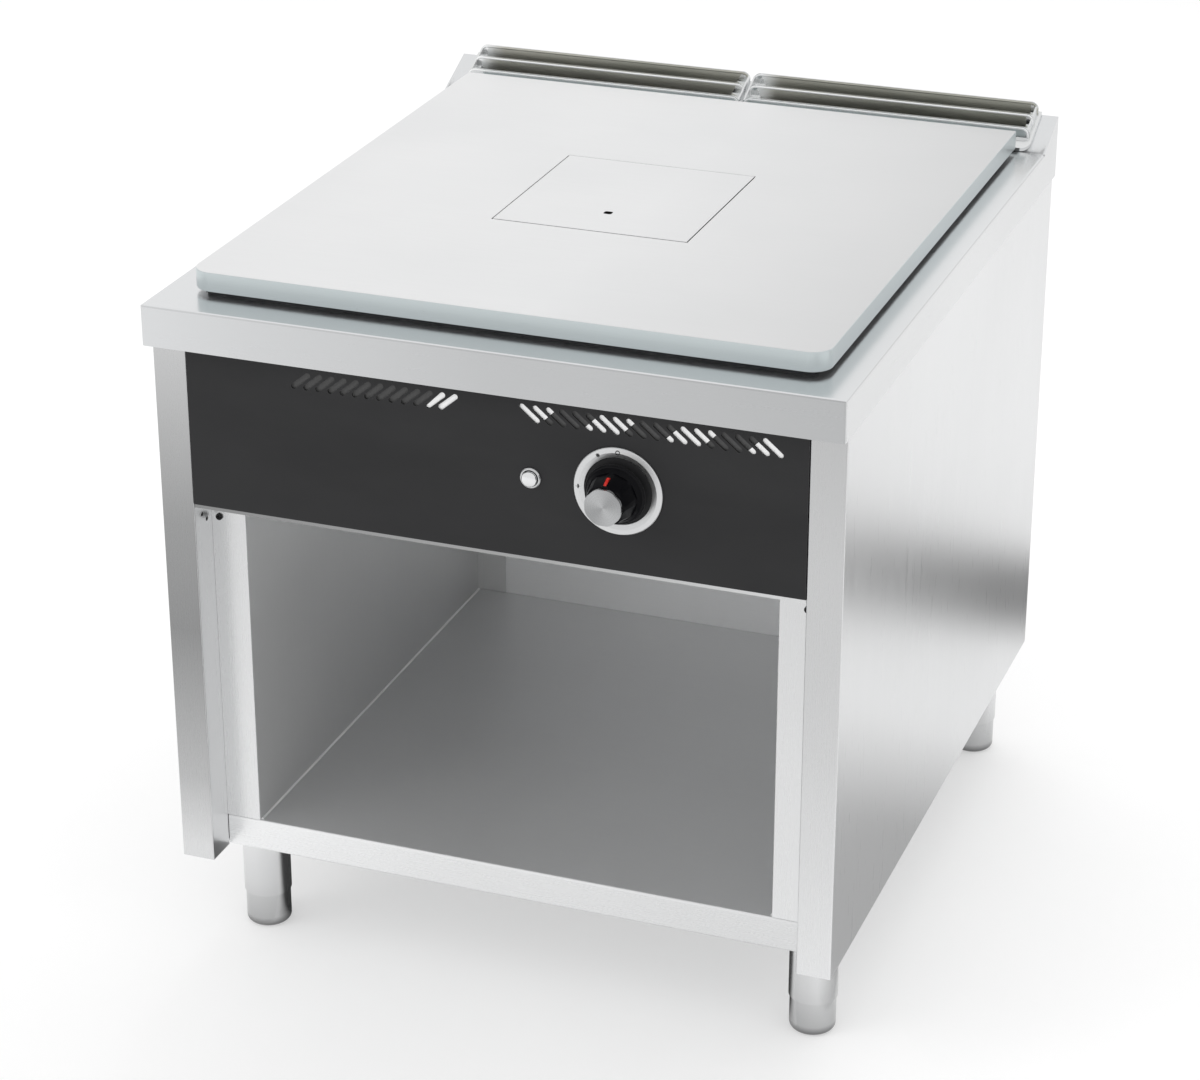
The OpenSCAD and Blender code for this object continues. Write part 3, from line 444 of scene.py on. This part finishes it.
# Jambs: darker towards their top, painted shade.
JAMB_PAINTED_SHADE = steel("jamb_painted_shade", (0.86, 0.865, 0.87), 0.28, "Z",
                   painted_shading=(*JAMB_RUN, [(0, 0.97), (1, 0.76)]))
# Floor lip: a lighter copy darkening towards its right end, painted light and shade.
LIP_PAINTED_LIGHT = steel("lip_painted_light", (0.92, 0.925, 0.93), 0.28, "X",
                  painted_shading=(*FRONT_RUN, [(0, 1.0), (1, 0.83)]))
# Inside the cabinet: walls darker towards the floor, a darker floor and a lighter back, all painted
# shade and light.
WALL_PAINTED_SHADE = steel("wall_painted_shade", (0.97, 0.975, 0.975), 0.42, "Z", 0.06, metallic=0.65,
                   painted_shading=("Z", 0.18, 0.60, [(0, 0.70), (0.6, 0.82), (1, 1.0)]))
FLOOR_PAINTED_SHADE = steel("floor_painted_shade", (0.71, 0.715, 0.72), 0.42, "X", 0.06, metallic=0.65)
BACK_PAINTED_LIGHT = steel("back_painted_light", (0.97, 0.975, 0.98), 0.42, "X", 0.06, metallic=0.65)
# Upright faces of the hot plate: a darker, blue-green copy of its steel, painted shade.
PLATE_EDGE_PAINTED_SHADE = steel("plate_edge_painted_shade", (0.58, 0.635, 0.645), 0.30, "X", 0.05)
HEAT_TINT = heat_tinted("heat_tint")
# Front crossbar: darker towards its left end, painted shade.
CROSSBAR_PAINTED_SHADE = steel("crossbar_painted_shade", (0.80, 0.805, 0.81), 0.30, "X",
                       painted_shading=(*FRONT_RUN, [(0, 0.32), (0.55, 0.45), (1, 0.85)]))
# Near-white, mostly non-metallic steel for hems and beads: painted highlight.
HEM_PAINTED_HIGHLIGHT = steel("hem_painted_highlight", (0.97, 0.975, 0.98), 0.30, "X", 0.03, metallic=0.35)
# Near-white, mostly non-metallic ends of the flue covers: painted reflection.
END_PAINTED_REFLECTION = steel("end_painted_reflection", (0.86, 0.87, 0.88), 0.34, "Z", 0.04, metallic=0.45)
# Near-black walls of the gaps round and in the centre plate: painted shade.
GAP_PAINTED_SHADE = plain_metal("gap_painted_shade", (0.035, 0.034, 0.033), 0.75)
BLACK_SCREW = plain_metal("black_screw", (0.035, 0.035, 0.036), 0.45)
INK = skin("dial_ink", (0.015, 0.015, 0.016), 0.50, 0.10)


def paint(obj, material):
    obj.data.materials.clear()
    obj.data.materials.append(material)


for node, obj in NODES.items():
    paint(obj, MATERIALS[SLOT[node]])


# ------------------------------------------------------------------ mesh helpers

def placed(name, data):
    """New object in the scene."""
    obj = bpy.data.objects.new(name, data)
    bpy.context.scene.collection.objects.link(obj)
    return obj


def mesh_from(bm, name):
    """Turns a bmesh into a mesh and frees it."""
    mesh = bpy.data.meshes.new(name)
    bm.to_mesh(mesh)
    bm.free()
    return mesh


def keep(mesh, name, body, slot, *replaced):
    """Makes a mesh into a piece on a body, in a material slot, standing for CAD nodes."""
    obj = placed(name, mesh)
    paint(obj, MATERIALS[slot])
    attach(obj, body)
    if replaced:
        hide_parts(*replaced)
    return obj


def smooth(mesh, angle):
    """Smooth shading, with creases above an angle in degrees kept."""
    for face in mesh.polygons:
        face.use_smooth = True
    mesh.set_sharp_from_angle(angle=math.radians(angle))


def softened(node, name, width, segments=2, finishes_and_painted_light=()):
    """A CAD node's own shape with its sharp edges rounded.

    finishes_and_painted_light are (material, chooser) pairs, most of them painted shade and light: a
    face takes the last one whose chooser picks it.
    """
    bm = bmesh.new()
    bm.from_mesh(NODES[node].data)
    bmesh.ops.remove_doubles(bm, verts=bm.verts, dist=1e-6)
    bmesh.ops.dissolve_limit(bm, angle_limit=math.radians(0.6), verts=bm.verts, edges=bm.edges)
    sharp = [edge for edge in bm.edges
             if len(edge.link_faces) == 2 and edge.calc_face_angle(0.0) > math.radians(SHARP_ANGLE)]
    bmesh.ops.bevel(bm, geom=sharp, offset=width, offset_type="OFFSET", segments=segments, profile=0.5,
                    affect="EDGES", clamp_overlap=True)
    bmesh.ops.triangulate(bm, faces=[f for f in bm.faces if len(f.verts) > 4])
    mesh = mesh_from(bm, name)
    smooth(mesh, CREASE)
    obj = keep(mesh, name, BODY[node], SLOT[node], node)
    for index, (material, chooser) in enumerate(finishes_and_painted_light, 1):
        obj.data.materials.append(material)
        for face in mesh.polygons:
            if chooser(face):
                face.material_index = index
    weighted = obj.modifiers.new("weighted", "WEIGHTED_NORMAL")
    weighted.weight = 100
    weighted.keep_sharp = True
    return obj


def upright(face):
    """Faces that stand up, such as the rim of the hot plate."""
    return abs(face.normal.z) < 0.5


def on_fins(face):
    """Front faces of the middle and rear fins, below their bright upper edges."""
    behind_first = face.center.y > COVER_FRONT + FIRST_FIN_DEPTH
    return face.normal.y < -0.9 and face.area > 1e-4 and behind_first


def to_front(face):
    return face.normal.y < -FACING


def to_side(face):
    return abs(face.normal.x) > FACING


def on_ends(face):
    """Plates that close the ends of a flue cover."""
    return to_side(face) and face.area > 2e-5


def over_centre(face, margin):
    """Whether a face is within the centre plate's outline, made larger by a margin."""
    (x0, y0, _), (x1, y1, _) = CENTRE_BOX
    x, y, _ = face.center
    return x0 - margin < x < x1 + margin and y0 - margin < y < y1 + margin


def in_hole(face):
    """Walls of the lifting slot in the centre plate."""
    return upright(face) and over_centre(face, -HOLE_INSET)


def in_opening(face):
    """Walls of the opening of the hot plate, round the centre plate."""
    return upright(face) and over_centre(face, HOLE_INSET)


def anywhere(_):
    return True


def at_panel(face):
    """Front faces of the posts, in the plane of the control panel."""
    return to_front(face) and abs(face.center.y - PANEL_Y) < SAME_PLANE


def at_jamb(face):
    """Front faces of the jambs and of the floor's lip, with the fold beside them."""
    return to_front(face) and abs(face.center.y - JAMB_Y) < SAME_PLANE


for node, name, width, finishes_and_painted_light in (
    ("hot_plate", "hot_plate_ground", 0.0016, [(PLATE_EDGE_PAINTED_SHADE, upright), (GAP_PAINTED_SHADE, in_opening)]),
    ("centre_plate", "centre_plate_ground", 0.0009, [(GAP_PAINTED_SHADE, in_hole)]),
    ("left_flue_cover", "left_cover_formed", 0.0014, [(END_PAINTED_REFLECTION, on_ends), (HEAT_TINT, on_fins)]),
    ("right_flue_cover", "right_cover_formed", 0.0014, [(END_PAINTED_REFLECTION, on_ends), (HEAT_TINT, on_fins)]),
    ("worktop", "worktop_folded", 0.0005, [(APRON_SIDE_PAINTED_SHADE, to_side), (APRON_PAINTED_SHADE, to_front)]),
    ("control_panel", "control_panel_enamelled", 0.0004, []),
    ("left_side_panel", "left_side_folded", 0.0004, [(LEFT_POST_PAINTED_SHADE, at_panel)]),
    ("right_side_panel", "right_side_folded", 0.0004, [(RIGHT_POST_PAINTED_SHADE, at_panel)]),
    ("left_liner", "left_liner_folded", 0.0004, [(WALL_PAINTED_SHADE, anywhere), (JAMB_PAINTED_SHADE, at_jamb)]),
    ("right_liner", "right_liner_folded", 0.0004, [(WALL_PAINTED_SHADE, anywhere), (JAMB_PAINTED_SHADE, at_jamb)]),
    ("cabinet_floor", "cabinet_floor_folded", 0.0004, [(FLOOR_PAINTED_SHADE, anywhere), (LIP_PAINTED_LIGHT, at_jamb)]),
):
    softened(node, name, width, finishes_and_painted_light=finishes_and_painted_light)

paint(NODES["inner_back_panel"], BACK_PAINTED_LIGHT)
paint(NODES["front_crossbar"], CROSSBAR_PAINTED_SHADE)
paint(NODES["hinge_screws"], BLACK_SCREW)


# ------------------------------------------------------------------ beads and hems

def swept(name, path, radius, body, slot, sides=10):
    """Round bar along a path in a plane X-Z or straight along Y, closed at both ends."""
    bm = bmesh.new()
    rings = []
    angles = [2 * math.pi * k / sides for k in range(sides)]
    for i, point in enumerate(path):
        ahead = path[min(i + 1, len(path) - 1)] - path[max(i - 1, 0)]
        across = Vector((0, 1, 0)) if abs(ahead.normalized().y) < 0.5 else Vector((1, 0, 0))
        up = ahead.cross(across).normalized()
        spokes = [math.cos(a) * across + math.sin(a) * up for a in angles]
        rings.append([bm.verts.new(point + radius * spoke) for spoke in spokes])
    for one, two in zip(rings, rings[1:]):
        for k in range(sides):
            bm.faces.new((one[k], one[(k + 1) % sides], two[(k + 1) % sides], two[k]))
    bm.faces.new(rings[0])
    bm.faces.new(rings[-1])
    bmesh.ops.recalc_face_normals(bm, faces=bm.faces)
    mesh = mesh_from(bm, name)
    smooth(mesh, ROUND_CREASE)
    return keep(mesh, name, body, slot)


def fins(node):
    """(y, lowest x, highest x, lowest z, highest z) of each fin's front face."""
    mesh = NODES[node].data
    found = {}
    for face in mesh.polygons:
        if face.normal.y < -0.9:
            found.setdefault(round(face.center.y, 4), []).append(face)
    for y, faces in sorted(found.items()):
        if sum(face.area for face in faces) > FIN_AREA:
            corners = [mesh.vertices[v].co for face in faces for v in face.vertices]
            xs = [c.x for c in corners]
            zs = [c.z for c in corners]
            yield y, min(xs), max(xs), min(zs), max(zs)


def hem_path(y, x0, x1, z0, z1, steps=6):
    """Up one end of a fin, round its corner, along its top and down the other end."""
    bend = FIN_CORNER - HEM_RADIUS
    quarter = [math.pi / 2 * i / steps for i in range(steps + 1)]
    left = [(x0 + FIN_CORNER - bend * math.cos(a), z1 - FIN_CORNER + bend * math.sin(a))
            for a in quarter]
    right = [(x0 + x1 - x, z) for x, z in reversed(left)]
    ends = [(x0 + HEM_RADIUS, z0)], [(x1 - HEM_RADIUS, z0)]
    return [Vector((x, y + FIN_THICKNESS / 2, z)) for x, z in ends[0] + left + right + ends[1]]


# Each fin's top gets a round hem; all but the rear fin's take the near-white steel of the painted
# highlight.
for side in ("left", "right"):
    node = side + "_flue_cover"
    for number, fin in enumerate(fins(node), 1):
        hem = swept(f"{side}_fin_hem_{number}", hem_path(*fin), HEM_RADIUS, BODY[node], SLOT[node])
        paint(hem, HEAT_TINT if number == REAR_FIN else HEM_PAINTED_HIGHLIGHT)

# Bead where the cabinet floor meets each side liner, made bright by a painted highlight
liner_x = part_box("left_liner")[1].x - LINER_RETURN
floor_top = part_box("cabinet_floor")[1].z
seam_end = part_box("inner_back_panel")[0].y - 0.002
for side, x in (("left", liner_x + 0.001), ("right", -liner_x - 0.001)):
    run = [Vector((x, JAMB_Y + 0.004, floor_top)), Vector((x, seam_end, floor_top))]
    paint(swept("floor_seam_" + side, run, SEAM_RADIUS, "range", "cabinet_steel"), HEM_PAINTED_HIGHLIGHT)

# ------------------------------------------------------------------ springs


def pressed_spring(node, name):
    """Return spring: a smooth-shaded copy of the CAD node on its body, with a mesh of its own."""
    mesh = NODES[node].data.copy()
    smooth(mesh, ROUND_CREASE)
    spring = keep(mesh, name, BODY[node], SLOT[node], node)
    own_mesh(spring)


pressed_spring("igniter_spring", "igniter_coil")
pressed_spring("tap_spring", "tap_coil")

# ------------------------------------------------------------------ dial marks


def dial_mark(name, turn, outline, hole=None):
    """Printed mark on the bezel, at an angle in degrees anticlockwise from the top."""
    turn = math.radians(turn)
    centre = Vector((-math.sin(turn), 0, math.cos(turn))) * MARK_RADIUS
    bm = bmesh.new()
    loops = []
    for depth in (BEZEL_FRONT - MARK_LIFT, BEZEL_FRONT + MARK_LIFT):
        for ring in ([outline, hole] if hole else [outline]):
            loops.append([bm.verts.new((
                KNOB_AXIS[0] + centre.x + x * math.cos(turn) - z * math.sin(turn), depth,
                KNOB_AXIS[2] + centre.z + x * math.sin(turn) + z * math.cos(turn))) for x, z in ring])
    n = len(outline)
    if hole:
        front, front_hole, back, back_hole = loops
        for i in range(n):
            k = (i + 1) % n
            bm.faces.new((front[i], front[k], front_hole[k], front_hole[i]))
            bm.faces.new((back[k], back[i], back_hole[i], back_hole[k]))
            bm.faces.new((front_hole[i], front_hole[k], back_hole[k], back_hole[i]))
    else:
        front, back = loops
        bm.faces.new(front)
        bm.faces.new(back[::-1])
    for i in range(n):
        k = (i + 1) % n
        bm.faces.new((front[k], front[i], back[i], back[k]))
    bmesh.ops.recalc_face_normals(bm, faces=bm.faces)
    paint(keep(mesh_from(bm, name), name, "range", "knob_black"), INK)


def ring_points(radius, count, spike=0.0):
    """Points round a circle, with every second one pulled in to make a star."""
    return [((radius - spike * (i % 2)) * math.sin(2 * math.pi * i / count),
             (radius - spike * (i % 2)) * math.cos(2 * math.pi * i / count)) for i in range(count)]


BAR = [(-0.0024, -0.0007), (0.0024, -0.0007), (0.0024, 0.0007), (-0.0024, 0.0007)]
dial_mark("dial_mark_off", 0, ring_points(MARK_SIZE, 32), ring_points(0.0017, 32))
dial_mark("dial_mark_ignition", 30, ring_points(MARK_SIZE, 16, 0.0011))
dial_mark("dial_mark_flame", 90, BAR)

# ------------------------------------------------------------------ stage, light and camera

floor_mesh = bpy.data.meshes.new("studio_floor")
floor_mesh.from_pydata([(-8, -8, 0), (8, -8, 0), (8, 8, 0), (-8, 8, 0)], [], [(0, 1, 2, 3)])
floor = placed("studio_floor", floor_mesh)
floor_tree = Tree("studio_floor")
floor_tree.set("Roughness", 0.9)
floor_tree.set("Specular IOR Level", 0.1)
floor_tone = floor_tree.ramp(floor_tree.noise(floor_tree.coords(), 2.0), [(0.3, 0.54), (0.7, 0.56)])
floor_tree.link(floor_tone, floor_tree.shader.inputs["Base Color"])
floor_tree.set("Emission Color", (1, 1, 1, 1))
floor_tree.set("Emission Strength", FLOOR_GLOW)
paint(floor, floor_tree.material)

world = bpy.data.worlds.new("studio")
bpy.context.scene.world = world
world.use_nodes = True
sky = world.node_tree.nodes["Background"]
sky.inputs["Color"].default_value = (1, 1, 1, 1)
sky.inputs["Strength"].default_value = SKY_LIGHT
bpy.context.scene.view_settings.view_transform = "Standard"


def softbox(name, place, target, size, power):
    """Rectangular area light aimed at a target, which reflections don't show."""
    light = bpy.data.lights.new(name, "AREA")
    light.shape = "RECTANGLE"
    light.size, light.size_y = size
    light.energy = power
    obj = placed(name, light)
    obj.location = place
    obj.rotation_euler = (Vector(target) - Vector(place)).to_track_quat("-Z", "Y").to_euler()
    obj.visible_glossy = False


softbox("key_left", (-3.2, -3.0, 3.2), (0, 0, 0.5), (2.2, 2.2), 40)
softbox("top_rear", (0.4, 1.8, 3.4), (0, 0, 0.8), (3.0, 2.0), 30)


def flag(name, low, high, tone, edge):
    """Dark card just above the floor that only reflections see.

    Its tone softens over edge metres at both ends along Y.
    """
    (x0, y0), (x1, y1) = low, high
    mesh = bpy.data.meshes.new(name)
    corners = [(x0, y0, FLAG_Z), (x1, y0, FLAG_Z), (x1, y1, FLAG_Z), (x0, y1, FLAG_Z)]
    mesh.from_pydata(corners, [], [(0, 1, 2, 3)])
    obj = placed(name, mesh)
    card = Tree(name)
    card.set("Base Color", (0, 0, 0, 1))
    card.set("Specular IOR Level", 0.0)
    soft = edge / (y1 - y0)
    stops = [(0, FLAG_SURROUND), (soft, tone), (1 - soft, tone), (1, FLAG_SURROUND)]
    card.link(card.graded("Y", y0, y1, stops), card.shader.inputs["Emission Color"])
    card.set("Emission Strength", 1.0)
    paint(obj, card.material)
    obj.visible_camera = False
    obj.visible_diffuse = False
    obj.visible_shadow = False
    obj.visible_transmission = False


flag("flag_side", (0.45, 0.70), (3.0, 1.06), 0.12, 0.12)
flag("flag_corner", (0.42, -0.45), (0.80, 0.40), 0.45, 0.25)
flag("flag_under", (-0.37, -0.36), (0.32, 0.44), 0.05, 0.05)

camera_data = bpy.data.cameras.new("camera")
camera_data.sensor_fit = "HORIZONTAL"
camera_data.sensor_width = SENSOR
camera_data.lens = CAMERA_LENS
camera_data.clip_end = 50.0
camera = placed("camera", camera_data)
right, up, back = Vector(CAMERA_RIGHT), -Vector(CAMERA_DOWN), -Vector(CAMERA_LOOK)
camera.matrix_world = Matrix((
    (right.x, up.x, back.x, CAMERA_AT[0]),
    (right.y, up.y, back.y, CAMERA_AT[1]),
    (right.z, up.z, back.z, CAMERA_AT[2]),
    (0, 0, 0, 1)))
bpy.context.scene.camera = camera
